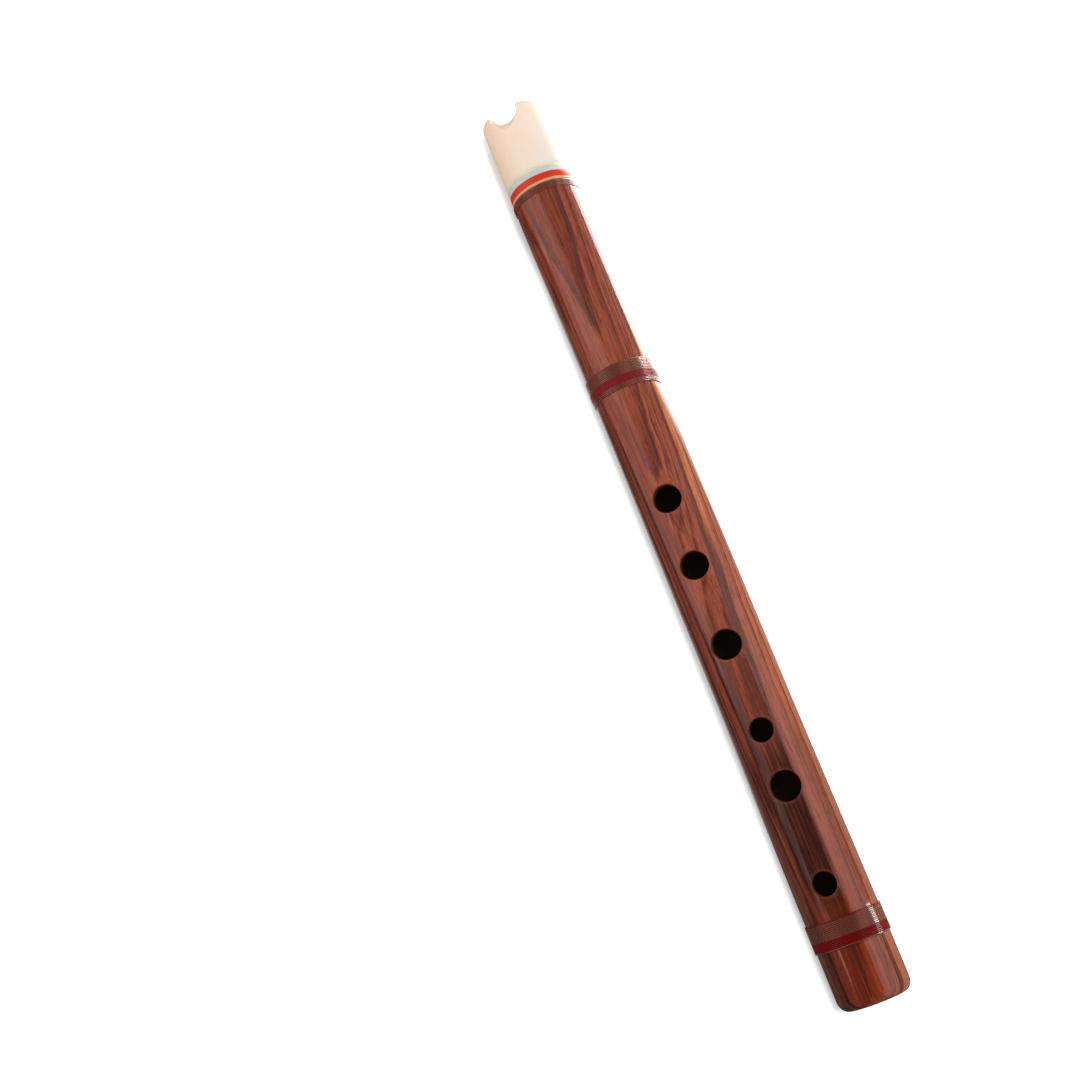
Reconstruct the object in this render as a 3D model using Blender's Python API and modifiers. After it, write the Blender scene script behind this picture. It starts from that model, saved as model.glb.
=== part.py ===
# Quena: an end-blown notch flute of turned rosewood, lying with its finger holes up.
#
# A pale bone mouthpiece with the blowing notch sits on a tenon of the wooden tube.
# Four thin coloured rings are threaded on the tenon between the bone and the wood.
# Three bindings of nylon and red thread are wound round the tube.
#
# Every piece is turned or drilled about one axis. It is drawn upright, with the mouth rim
# at height 0 and the foot below it, so a piece's height is minus its station, the distance
# from the rim. The parent empty lays the flute down along +X, foot first, and lifts it until
# its outer bindings touch the ground at z = 0. Angles round the axis start at the finger holes.
# All sizes are in metres.

import math

import bmesh
import bpy
import numpy as np

# The tube: full radius at both ends, a little narrower between its two tapers
LENGTH = 0.384
OUTER_RADIUS = 0.0143
WAIST_NARROWING = 0.0003
HEAD_TAPER = 0.052
FOOT_TAPER = 0.085
BORE_RADIUS = 0.0095
FOOT_FLAT = 0.0011
FOOT_ROUNDING_ALONG = 0.0046
BORE_EDGE_BREAK = 0.0004

# The joint between mouthpiece and tube
MOUTHPIECE_LENGTH = 0.0308
SOCKET_WALL = 0.0024
TENON_DEPTH = 0.012
TENON_CHAMFER = 0.0005
TENON_END_GAP = 0.0003
GLUE_LINE = 0.0001
RIM_ROUNDING = 0.0009

# Rings on the tenon, from the bone to the wood: name, thickness, colour
RINGS = (
    ("green_line_ring", 0.0008, (0.66, 0.66, 0.40)),
    ("silver_ring", 0.0024, (0.55, 0.53, 0.48)),
    ("red_ring", 0.0028, (0.62, 0.025, 0.008)),
    ("cream_ring", 0.0011, (0.66, 0.52, 0.33)),
)

# The blowing notch, and the ramp that thins the wall to its sharp edge
NOTCH_TURN = math.radians(-10.0)
NOTCH_RADIUS = 0.0060
NOTCH_DEPTH = 0.0052
HORN_ROUNDING = 0.0014
EDGE_THICKNESS = 0.0006
RAMP_LENGTH = 0.0042
RAMP_SIDE_FLARE = 0.0003

# Finger holes: station, diameter, degrees off the line of holes
FINGER_HOLES = (
    (0.1815, 0.0113, 1.0),
    (0.2100, 0.0113, 0.5),
    (0.2430, 0.0118, -0.5),
    (0.2778, 0.0094, -1.0),
    (0.3003, 0.0117, 1.0),
    (0.3383, 0.0092, -1.0),
)
THUMB_HOLE = (0.1650, 0.0100, 180.0)
HOLE_EASING = 0.0005

# Bindings: thread, spacing of the turns, and where each binding's thread starts: from the
# tube's shoulder, from the mouth rim and from the foot
THREAD_DIAMETER = 0.0006
TURN_PITCH = 0.00105
THREAD_CLEARANCE = 0.00028
THREAD_END_GAP = 0.0003
TOP_BINDING_FROM_SHOULDER = 0.0006
MIDDLE_BINDING_START = 0.1224
LOWER_BINDING_FROM_FOOT = 0.0334
TURN_POINTS = 24
SPLICE_ANGLE = 120.0
GROUND_FLAT_SHARE = 0.1

# Windings of each binding in order along the tube: name, whole turns, colour
NYLON_COLOUR = (0.17, 0.085, 0.05)
RED_THREAD_COLOUR = (0.23, 0.012, 0.014)
TOP_BINDING = (("top_binding_nylon", 3, NYLON_COLOUR),)
MIDDLE_BINDING = (
    ("middle_binding_upper_nylon", 5, NYLON_COLOUR),
    ("middle_binding_red_thread", 3, RED_THREAD_COLOUR),
    ("middle_binding_lower_nylon", 2, NYLON_COLOUR),
)
LOWER_BINDING = (
    ("lower_binding_first_red_turn", 1, RED_THREAD_COLOUR),
    ("lower_binding_upper_nylon", 5, NYLON_COLOUR),
    ("lower_binding_red_thread", 3, RED_THREAD_COLOUR),
    ("lower_binding_lower_nylon", 1, NYLON_COLOUR),
)

ROSEWOOD_COLOUR = (0.23, 0.068, 0.035)
BONE_COLOUR = (0.87, 0.70, 0.55)
WOOD_ROUGHNESS = 0.32
BONE_ROUGHNESS = 0.38
RING_ROUGHNESS = 0.35
THREAD_ROUGHNESS = 0.30

# Fineness of round shapes
ROUND_STEPS = 64
HOLE_STEPS = 32
ARC_STEPS = 5
TAPER_STEPS = 4
THREAD_BEVEL = 1
MERGE = 0.00001

# Worked out from the sizes above
THREAD_RADIUS = THREAD_DIAMETER / 2
STACK_START = MOUTHPIECE_LENGTH + GLUE_LINE
SHOULDER = STACK_START + sum(thickness + GLUE_LINE for _, thickness, _ in RINGS)
TENON_START = MOUTHPIECE_LENGTH - TENON_DEPTH
SOCKET_RADIUS = OUTER_RADIUS - SOCKET_WALL
TENON_RADIUS = SOCKET_RADIUS - GLUE_LINE
FOOT_ROUNDING_INWARD = OUTER_RADIUS - BORE_RADIUS - BORE_EDGE_BREAK - FOOT_FLAT
TOP_BINDING_START = SHOULDER + TOP_BINDING_FROM_SHOULDER
TOP_BINDING_END = TOP_BINDING_START + THREAD_DIAMETER + TURN_PITCH * sum(
    turns for _, turns, _ in TOP_BINDING
)
LOWER_BINDING_START = LENGTH - LOWER_BINDING_FROM_FOOT
FACET_APOTHEM = math.cos(math.pi / TURN_POINTS)
BINDING_REACH = OUTER_RADIUS + THREAD_CLEARANCE + THREAD_DIAMETER
GROUND_FLAT = GROUND_FLAT_SHARE * THREAD_DIAMETER
AXIS_HEIGHT = BINDING_REACH * FACET_APOTHEM - GROUND_FLAT

# Cuts through the wall start inside the bore. A rounding's middle point lies this share
# of its radius in from each face.
CUT_START = BORE_RADIUS / 3
ROUNDING_MIDDLE = 1 - math.cos(math.pi / 4)


def outer_radius(station):
    """The tube's radius: full up to the top binding and past the lower one, eased between."""
    share = min((station - TOP_BINDING_END) / HEAD_TAPER, (LOWER_BINDING_START - station) / FOOT_TAPER)
    share = min(max(share, 0.0), 1.0)
    return OUTER_RADIUS - WAIST_NARROWING * share * share * (3 - 2 * share)


def clear_scene():
    for old in list(bpy.data.objects):
        bpy.data.objects.remove(old, do_unlink=True)


def new_collection(name, hidden=False):
    made = bpy.data.collections.new(name)
    made.hide_render = hidden
    bpy.context.scene.collection.children.link(made)
    return made


def new_material(name, colour, roughness, metallic=0.0):
    made = bpy.data.materials.new(name)
    made.use_nodes = True
    shader = made.node_tree.nodes["Principled BSDF"]
    shader.inputs["Base Color"].default_value = (*colour, 1.0)
    shader.inputs["Roughness"].default_value = roughness
    shader.inputs["Metallic"].default_value = metallic
    made.diffuse_color = (*colour, 1.0)
    return made


def place(name, data, collection, axis):
    """A new object on the flute's axis."""
    piece = bpy.data.objects.new(name, data)
    collection.objects.link(piece)
    piece.parent = axis
    return piece


def quarter_arc(centre, reach, start, end):
    """Points of a quarter ellipse as (radius, station), both ends included."""
    angles = np.linspace(math.radians(start), math.radians(end), ARC_STEPS + 1)
    return [
        (centre[0] + reach[0] * math.cos(a), centre[1] + reach[1] * math.sin(a))
        for a in angles
    ]


def turned(name, profile, collection, axis, material):
    """A tube or ring turned from a closed profile, which runs down its outer side first."""
    mesh = bpy.data.meshes.new(name)
    points = [(radius, 0.0, -station) for radius, station in profile]
    edges = [(i, (i + 1) % len(points)) for i in range(len(points))]
    mesh.from_pydata(points, edges, [])
    mesh.materials.append(material)
    piece = place(name, mesh, collection, axis)
    screw = piece.modifiers.new("turn", "SCREW")
    screw.steps = ROUND_STEPS
    screw.render_steps = ROUND_STEPS
    screw.use_merge_vertices = True
    screw.merge_threshold = MERGE
    screw.use_smooth_shade = True
    return piece


def cut(piece, cutter):
    boolean = piece.modifiers.new(cutter.name, "BOOLEAN")
    boolean.operation = "DIFFERENCE"
    boolean.solver = "EXACT"
    boolean.object = cutter


def lofted(name, sections, collection, axis):
    """A closed cutter through sections of as many points each, capped at both ends.

    The sections rise outward, and each runs anticlockwise seen from outside the tube.
    Points of one section that fall together are welded.
    """
    shape = bmesh.new()
    loops = [[shape.verts.new(point) for point in section] for section in sections]
    count = len(loops[0])
    for lower, upper in zip(loops, loops[1:]):
        for i in range(count):
            j = (i + 1) % count
            shape.faces.new((lower[i], lower[j], upper[j], upper[i]))
    shape.faces.new(reversed(loops[0]))
    shape.faces.new(loops[-1])
    bmesh.ops.remove_doubles(shape, verts=shape.verts, dist=MERGE)
    mesh = bpy.data.meshes.new(name)
    shape.to_mesh(mesh)
    shape.free()
    cutter = place(name, mesh, collection, axis)
    cutter.hide_render = True
    cutter.display_type = "WIRE"
    return cutter


def across(station, aside, height, turn):
    """The point at this station, aside of the half plane at angle turn, and this far out."""
    cosine, sine = math.cos(turn), math.sin(turn)
    return (height * cosine - aside * sine, height * sine + aside * cosine, -station)


def hole_cutter(name, hole, collection, axis):
    """A drill whose upper end flares along the tube's curve, for an edge eased all round."""
    station, diameter, degrees = hole
    turn = math.radians(degrees)
    radius = diameter / 2
    tube = outer_radius(station)
    angles = [2 * math.pi * i / HOLE_STEPS for i in range(HOLE_STEPS)]

    def ring(reach, height_at):
        return [
            across(
                station + reach * math.cos(a),
                reach * math.sin(a),
                height_at(reach * math.sin(a)),
                turn,
            )
            for a in angles
        ]

    def on_tube(tube_radius):
        return lambda aside: math.sqrt(tube_radius**2 - aside**2)

    flared = radius + 2 * HOLE_EASING
    bevel = HOLE_EASING * ROUNDING_MIDDLE
    sections = [
        ring(radius, lambda aside: CUT_START),
        ring(radius, on_tube(tube - HOLE_EASING)),
        ring(radius + bevel, on_tube(tube - bevel)),
        ring(radius + HOLE_EASING, on_tube(tube)),
        ring(flared, on_tube(tube + bevel)),
        ring(flared, lambda aside: tube + radius),
    ]
    return lofted(name, sections, collection, axis)


def notch_outline(radius, depth, overshoot):
    """The notch seen square on, as (aside, station): a round bottom between rounded horns.

    Where the bottom's centre lies deeper than the horns' centres, straight sides join them.
    """
    horn = HORN_ROUNDING
    centre = depth - radius
    side = min(centre, horn)
    horn_aside = math.sqrt((radius + horn) ** 2 - (horn - side) ** 2)
    lean = math.atan2(horn - side, horn_aside)
    half = [(horn_aside, -overshoot)]
    half += [
        (horn_aside - horn * math.sin(a), horn - horn * math.cos(a))
        for a in np.linspace(0.0, math.pi / 2 - lean, ARC_STEPS + 1)
    ]
    half += [
        (radius * math.cos(a), centre + radius * math.sin(a))
        for a in np.linspace(lean, math.pi / 2, ARC_STEPS + 1)
    ]
    return [(-aside, station) for aside, station in half] + half[-2::-1]


def notch_cutter(collection, axis):
    """The notch goes straight through the wall, and flares into the ramp above its edge."""
    edge_height = BORE_RADIUS + EDGE_THICKNESS
    top_height = OUTER_RADIUS + EDGE_THICKNESS
    flare = (top_height - edge_height) / (OUTER_RADIUS - edge_height)
    levels = (
        (0.0, CUT_START),
        (0.0, edge_height),
        (flare, top_height),
    )
    sections = []
    for share, height in levels:
        outline = notch_outline(
            NOTCH_RADIUS + share * RAMP_SIDE_FLARE,
            NOTCH_DEPTH + share * RAMP_LENGTH,
            OUTER_RADIUS - BORE_RADIUS,
        )
        sections.append(
            [across(station, aside, height, NOTCH_TURN) for aside, station in outline]
        )
    return lofted("notch_cutter", sections, collection, axis)


def body_profile():
    head_taper = np.linspace(TOP_BINDING_END, TOP_BINDING_END + HEAD_TAPER, TAPER_STEPS + 1)
    foot_taper = np.linspace(LOWER_BINDING_START - FOOT_TAPER, LOWER_BINDING_START, TAPER_STEPS + 1)
    foot = quarter_arc(
        (OUTER_RADIUS - FOOT_ROUNDING_INWARD, LENGTH - FOOT_ROUNDING_ALONG),
        (FOOT_ROUNDING_INWARD, FOOT_ROUNDING_ALONG),
        0,
        90,
    )
    return [
        (BORE_RADIUS, TENON_START),
        (TENON_RADIUS - TENON_CHAMFER, TENON_START),
        (TENON_RADIUS, TENON_START + TENON_CHAMFER),
        (TENON_RADIUS, SHOULDER),
        (OUTER_RADIUS, SHOULDER),
        *((outer_radius(station), station) for station in (*head_taper, *foot_taper)),
        *foot,
        (BORE_RADIUS + BORE_EDGE_BREAK, LENGTH),
        (BORE_RADIUS, LENGTH - BORE_EDGE_BREAK),
    ]


def mouthpiece_profile():
    rim = quarter_arc(
        (OUTER_RADIUS - RIM_ROUNDING, RIM_ROUNDING), (RIM_ROUNDING, RIM_ROUNDING), -90, 0
    )
    socket_floor = TENON_START - TENON_END_GAP
    return [
        (BORE_RADIUS, BORE_EDGE_BREAK),
        (BORE_RADIUS + BORE_EDGE_BREAK, 0.0),
        *rim,
        (OUTER_RADIUS, MOUTHPIECE_LENGTH),
        (SOCKET_RADIUS, MOUTHPIECE_LENGTH),
        (SOCKET_RADIUS, socket_floor),
        (BORE_RADIUS, socket_floor),
    ]


def make_body(collection, cutters, axis):
    wood = new_material("rosewood", ROSEWOOD_COLOUR, WOOD_ROUGHNESS)
    body = turned("body_tube", body_profile(), collection, axis, wood)
    for number, hole in enumerate(FINGER_HOLES, 1):
        cut(body, hole_cutter(f"finger_hole_{number}_cutter", hole, cutters, axis))
    cut(body, hole_cutter("thumb_hole_cutter", THUMB_HOLE, cutters, axis))


def make_mouthpiece(collection, cutters, axis):
    bone = new_material("bone", BONE_COLOUR, BONE_ROUGHNESS)
    mouthpiece = turned("mouthpiece", mouthpiece_profile(), collection, axis, bone)
    cut(mouthpiece, notch_cutter(cutters, axis))


def make_rings(collection, axis):
    station = STACK_START
    for name, thickness, colour in RINGS:
        profile = [
            (SOCKET_RADIUS, station),
            (OUTER_RADIUS, station),
            (OUTER_RADIUS, station + thickness),
            (SOCKET_RADIUS, station + thickness),
        ]
        turned(name, profile, collection, axis, new_material(name, colour, RING_ROUGHNESS))
        station += thickness + GLUE_LINE


def helix_points(start, radius, first, last):
    """Corners of a binding's thread, numbered from its first. Each side's middle faces a splice angle."""
    number = np.arange(first, last + 1)
    angle = math.radians(SPLICE_ANGLE) + (number + 0.5) * 2 * math.pi / TURN_POINTS
    height = -(start + THREAD_RADIUS + (number + 0.5) * TURN_PITCH / TURN_POINTS)
    return np.column_stack([radius * np.cos(angle), radius * np.sin(angle), height])


def thread_path(start, radius, first_turn, turns):
    """One winding's corners. Its ends stop short of the middle of a straight side of the helix."""
    corners = helix_points(
        start, radius, first_turn * TURN_POINTS - 1, (first_turn + turns) * TURN_POINTS
    )
    side = np.linalg.norm(corners[1] - corners[0])
    run = (side - THREAD_END_GAP) / 2
    for end, inner in ((0, 1), (-1, -2)):
        along = (corners[end] - corners[inner]) / side
        corners[end] = corners[inner] + along * run
    return corners


def least_gap(path):
    """Least clear distance between parts of the thread that lie over half a turn apart."""
    count = len(path)
    gaps = np.linalg.norm(path[:, None] - path[None], axis=2)
    order = np.arange(count)
    apart = np.abs(order[:, None] - order[None]) > TURN_POINTS // 2
    return gaps[apart].min() - THREAD_DIAMETER if apart.any() else math.inf


def thread_mesh(name, path):
    """The thread as a mesh: a round bevel along the path, with its end caps welded on."""
    curve = bpy.data.curves.new(name, "CURVE")
    curve.dimensions = "3D"
    curve.bevel_depth = THREAD_RADIUS
    curve.bevel_resolution = THREAD_BEVEL
    curve.use_fill_caps = True
    spline = curve.splines.new("POLY")
    spline.points.add(len(path) - 1)
    spline.points.foreach_set("co", np.column_stack([path, np.ones(len(path))]).ravel())
    holder = bpy.data.objects.new(name, curve)
    bpy.context.scene.collection.objects.link(holder)
    graph = bpy.context.evaluated_depsgraph_get()
    mesh = bpy.data.meshes.new_from_object(holder.evaluated_get(graph))
    bpy.data.objects.remove(holder, do_unlink=True)
    shape = bmesh.new()
    shape.from_mesh(mesh)
    bmesh.ops.remove_doubles(shape, verts=shape.verts, dist=MERGE)
    bmesh.ops.recalc_face_normals(shape, faces=shape.faces)
    shape.to_mesh(mesh)
    shape.free()
    return mesh


def make_binding(windings, start, collection, axis, ground):
    """Windings one after another on one helix, each flat where it meets the ground."""
    end = start + THREAD_DIAMETER + TURN_PITCH * sum(turns for _, turns, _ in windings)
    tube = max(outer_radius(start), outer_radius(end))
    radius = tube + THREAD_CLEARANCE + THREAD_RADIUS
    turn = 0
    for name, turns, colour in windings:
        path = thread_path(start, radius, turn, turns)
        mesh = thread_mesh(name, path)
        mesh.materials.append(new_material(name, colour, THREAD_ROUGHNESS))
        cut(place(name, mesh, collection, axis), ground)
        print(f"{name}: {turns} turns, least gap {1000 * least_gap(path):.2f} mm")
        turn += turns


def ground_cutter(collection):
    """A block whose top is the ground, under the whole flute."""
    mesh = bpy.data.meshes.new("ground_cutter")
    shape = bmesh.new()
    bmesh.ops.create_cube(shape, size=1.0)
    width, depth = 2 * BINDING_REACH, BINDING_REACH
    bmesh.ops.scale(shape, vec=(LENGTH, width, depth), verts=shape.verts)
    bmesh.ops.translate(shape, vec=(0, 0, -depth / 2), verts=shape.verts)
    shape.to_mesh(mesh)
    shape.free()
    block = bpy.data.objects.new("ground_cutter", mesh)
    collection.objects.link(block)
    block.hide_render = True
    block.display_type = "WIRE"
    return block


def main():
    clear_scene()
    collection = new_collection("quena")
    cutters = new_collection("cutters", hidden=True)
    axis = bpy.data.objects.new("flute_axis", None)
    collection.objects.link(axis)
    axis.location = (-LENGTH / 2, 0.0, AXIS_HEIGHT)
    axis.rotation_euler = (0.0, -math.pi / 2, 0.0)

    make_body(collection, cutters, axis)
    make_mouthpiece(collection, cutters, axis)
    make_rings(collection, axis)
    ground = ground_cutter(cutters)
    make_binding(TOP_BINDING, TOP_BINDING_START, collection, axis, ground)
    make_binding(MIDDLE_BINDING, MIDDLE_BINDING_START, collection, axis, ground)
    make_binding(LOWER_BINDING, LOWER_BINDING_START, collection, axis, ground)


main()
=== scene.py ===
import math

import bpy
import numpy as np
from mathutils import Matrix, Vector


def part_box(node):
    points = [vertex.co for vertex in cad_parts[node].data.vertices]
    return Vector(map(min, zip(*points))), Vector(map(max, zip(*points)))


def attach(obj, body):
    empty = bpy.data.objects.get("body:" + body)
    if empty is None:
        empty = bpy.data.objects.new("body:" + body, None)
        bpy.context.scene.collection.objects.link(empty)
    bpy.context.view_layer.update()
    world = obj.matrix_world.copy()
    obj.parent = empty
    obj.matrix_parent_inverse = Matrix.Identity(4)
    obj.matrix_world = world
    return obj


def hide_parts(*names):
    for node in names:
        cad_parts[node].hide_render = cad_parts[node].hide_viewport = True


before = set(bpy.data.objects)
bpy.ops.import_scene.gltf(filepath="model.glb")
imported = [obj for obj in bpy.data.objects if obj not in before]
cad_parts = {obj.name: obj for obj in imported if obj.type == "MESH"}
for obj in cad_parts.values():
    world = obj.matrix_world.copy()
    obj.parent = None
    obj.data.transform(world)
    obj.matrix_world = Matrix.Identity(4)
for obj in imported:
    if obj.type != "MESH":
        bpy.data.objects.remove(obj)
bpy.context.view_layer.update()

# Where the flute lies: stations run from the mouth rim, angles from the finger holes towards +Y
tubeLow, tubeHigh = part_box("body_tube")
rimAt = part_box("mouthpiece")[0][0]
axisHeight = (tubeLow[2] + tubeHigh[2]) / 2
tubeRadius = (tubeHigh[2] - tubeLow[2]) / 2
fluteLength = tubeHigh[0] - rimAt
boreRadius = 0.0095
socketRadius = 0.0119
wholeTurn = 2 * math.pi
mm = 1000.0  # millimetres in a metre
# the tube is a little narrower between its two ends
waist = {"narrower": 0.0003, "headEnd": 0.04275, "headTaper": 0.052, "footEnd": 0.3506, "footTaper": 0.085}


def outerRadius(station):
    # full at both ends; the narrowing grows by s * s * (3 - 2 s) over each taper
    share = np.minimum(
        (station - waist["headEnd"]) / waist["headTaper"], (waist["footEnd"] - station) / waist["footTaper"])
    share = np.clip(share, 0, 1)
    return tubeRadius - waist["narrower"] * share * share * (3 - 2 * share)


# Meshes
def pointAt(station, radius, angle):  # station along X, radius and angle round the flute's axis
    station, radius, angle = np.broadcast_arrays(station, radius, angle)
    return np.stack([
        rimAt + station,
        radius * np.sin(angle),
        axisHeight + radius * np.cos(angle),
    ], axis=-1)


def gridFaces(rows, columns, closeRows=True, closeColumns=True):
    # quads of a grid of vertices numbered row by row, wrapping where it is closed
    i = np.arange(rows if closeRows else rows - 1)[:, None]
    j = np.arange(columns if closeColumns else columns - 1)[None, :]
    nextI, nextJ = (i + 1) % rows, (j + 1) % columns
    quads = [i * columns + j, nextI * columns + j, nextI * columns + nextJ, i * columns + nextJ]
    return np.stack([np.broadcast_to(q, (i.size, j.size)) for q in quads], axis=-1).reshape(-1, 4)


def addPiece(name, points, faces, material, slotName, nodes):
    # makes the mesh from whole arrays, drops unused vertices and rides it on the flute
    faces = np.asarray(faces)
    used, faces = np.unique(faces, return_inverse=True)
    faces = faces.reshape(-1, 4)
    points = np.asarray(points).reshape(-1, 3)[used]
    corners = [tuple(dict.fromkeys(face)) for face in faces.tolist()]  # a quad at a pole is a triangle
    mesh = bpy.data.meshes.new(name)
    mesh.from_pydata(points, [], corners)
    mesh.polygons.foreach_set("use_smooth", np.ones(len(corners), bool))
    mesh.materials.append(material)
    mesh.update()
    piece = bpy.data.objects.new(name, mesh)
    bpy.context.scene.collection.objects.link(piece)
    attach(piece, "root")
    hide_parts(*nodes)


# Shader helpers
class Sock:
    # one output socket, with arithmetic that adds Math nodes
    def __init__(self, graph, socket):
        self.graph, self.socket = graph, socket

    def __add__(self, other):
        return self.graph.math("ADD", self, other)

    def __sub__(self, other):
        return self.graph.math("SUBTRACT", self, other)

    def __rsub__(self, other):
        return self.graph.math("SUBTRACT", other, self)

    def __mul__(self, other):
        return self.graph.math("MULTIPLY", self, other)

    def __truediv__(self, other):
        return self.graph.math("DIVIDE", self, other)

    def __rtruediv__(self, other):
        return self.graph.math("DIVIDE", other, self)

    def __pow__(self, other):
        return self.graph.math("POWER", self, other)

    def __gt__(self, other):
        return self.graph.math("GREATER_THAN", self, other)

    def __lt__(self, other):
        return self.graph.math("LESS_THAN", self, other)

    __radd__ = __add__
    __rmul__ = __mul__


class Graph:
    # builds one material's nodes
    def __init__(self, name):
        self.material = bpy.data.materials.new(name)
        self.material.use_nodes = True
        self.nodes = self.material.node_tree.nodes
        self.links = self.material.node_tree.links
        self.shader = self.nodes["Principled BSDF"]

    def feed(self, socket, value):
        if isinstance(value, Sock):
            self.links.new(value.socket, socket)
        elif isinstance(value, (tuple, list)) and len(value) == 3 and socket.type == "RGBA":
            socket.default_value = (*value, 1.0)
        else:
            socket.default_value = value

    def add(self, kind, settings=None, inputs=None, out=0):
        node = self.nodes.new(kind)
        for key, value in (settings or {}).items():
            if key == "stops":
                ramp = node.color_ramp
                while len(ramp.elements) < len(value):
                    ramp.elements.new(1.0)
                for element, (place, colour) in zip(ramp.elements, value):
                    element.position = place
                    element.color = (*colour, 1.0)
            else:
                setattr(node, key, value)
        for key, value in (inputs or {}).items():
            self.feed(node.inputs[key], value)
        return Sock(self, node.outputs[out])

    def math(self, operation, *values):
        return self.add("ShaderNodeMath", {"operation": operation}, dict(enumerate(values)))

    def smooth(self, value, low, high):  # 0 below low, 1 above high, eased between
        return self.add(
            "ShaderNodeMapRange",
            {"interpolation_type": "SMOOTHSTEP"},
            {"Value": value, "From Min": low, "From Max": high},
        )

    def slope(self, value, low, high, first, last):  # first below low, last above high, straight between
        return self.add(
            "ShaderNodeMapRange",
            {},
            {"Value": value, "From Min": low, "From Max": high, "To Min": first, "To Max": last},
        )

    def curve(self, value, points):  # straight from point to point, level beyond them
        total = points[0][1]
        for (low, first), (high, last) in zip(points, points[1:]):
            total = total + self.slope(value, low, high, 0.0, last - first)
        return total

    def ramp(self, value, stops):
        return self.add("ShaderNodeValToRGB", {"stops": stops}, {"Fac": value})

    def mix(self, share, first, second, blend="MIX"):
        return self.add(
            "ShaderNodeMix",
            {"data_type": "RGBA", "blend_type": blend},
            {0: share, 6: first, 7: second},
            out=2,
        )

    def noise(self, place, scale, detail=2.0, roughness=0.5):
        return self.add(
            "ShaderNodeTexNoise",
            {},
            {"Vector": place, "Scale": scale, "Detail": detail, "Roughness": roughness},
        )

    def place(self):  # object coordinates, and each of the three
        coordinate = self.add("ShaderNodeTexCoord", out=3)
        parts = self.nodes.new("ShaderNodeSeparateXYZ")
        self.links.new(coordinate.socket, parts.inputs[0])
        return coordinate, *(Sock(self, output) for output in parts.outputs)

    def vector(self, x, y, z):
        return self.add("ShaderNodeCombineXYZ", {}, {0: x, 1: y, 2: z})

    def bump(self, height, strength, distance):
        return self.add(
            "ShaderNodeBump", {}, {"Height": height, "Strength": strength, "Distance": distance}
        )

    def finish(self, **sockets):
        for key, value in sockets.items():
            self.feed(self.shader.inputs[key.replace("_", " ")], value)
        return self.material


# Rosewood
rosewood = {
    "light": (0.326, 0.077, 0.040),
    "salmon": (0.396, 0.098, 0.054),
    "bright": (0.700, 0.196, 0.066),
    "amber": (0.560, 0.142, 0.056),
    # orange is the bright strip on the right: partly the wood's own tone, partly painted light
    "orange": (0.820, 0.250, 0.078),
    "rust": (0.265, 0.033, 0.008),
    "headRust": (0.300, 0.032, 0.003),
    "plainLeft": (0.320, 0.062, 0.029),
    "worn": (0.330, 0.072, 0.022),
    "middle": (0.234, 0.048, 0.024),
    "brown": (0.118, 0.022, 0.011),
    "purple": (0.122, 0.033, 0.026),
    "mauve": (0.150, 0.036, 0.022),
    "dark": (0.034, 0.006, 0.004),
    # painted shade: the bore's inside is darker than the wood
    "bore": (0.070, 0.042, 0.032),
    # these four darken the wood near the foot; the first is painted shade, for the light falling off towards it
    "paintedFootShade": (0.74, 0.70, 0.69),
    "footLeft": (0.52, 0.41, 0.33),
    "footRight": (0.76, 0.70, 0.71),
    "footTop": (0.98, 0.60, 0.25),
    "roughness": 0.50,
    "fibreRoughness": 0.1,
    "specular": 0.1,
    "varnish": 0.85,
    "varnishRoughness": 0.07,
    "grainBump": 0.06,
    "grainHeight": 0.00003,
    "boreEnds": (0.0112, 0.0132),  # from the bore's colour to the wood's, by the distance to the axis
}
# noises drawn out along the grain: features in a metre along it and across it, detail and roughness
grain = {
    "wave": (14.0, 90.0, 1.0, 0.5),
    "feather": (50.0, 1200.0, 3.0, 0.65),
    "streak": (9.0, 520.0, 3.0, 0.55),
    "fine": (26.0, 1300.0, 3.0, 0.65),
    "pores": (150.0, 1700.0, 2.0, 0.6),
    "fibre": (240.0, 3600.0, 2.0, 0.6),
    "leftStreak": (22.0, 1300.0, 3.0, 0.6),
}
# how far the growth layers have climbed at each station, in mm, on the right side and on the left
climbs = {
    "right": [
        (40, 0.5), (60, 0.69), (70, 1.15), (80, 1.53), (90, 1.75), (102, 1.92), (110, 2.15), (135, 2.6),
        (150, 3.4), (165, 3.75), (200, 5.7), (215, 6.05), (230, 7.2), (262, 8.0), (300, 8.5), (340, 9.0),
        (384, 9.9)],
    "left": [
        (40, -0.45), (58, 0.2), (70, 0.97), (80, 1.39), (90, 1.71), (109, 2.17), (122, 2.3), (150, 3.6),
        (180, 4.15), (230, 4.7), (285, 5.3), (300, 5.85), (320, 6.85), (340, 7.5), (384, 7.7)],
}
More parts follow.
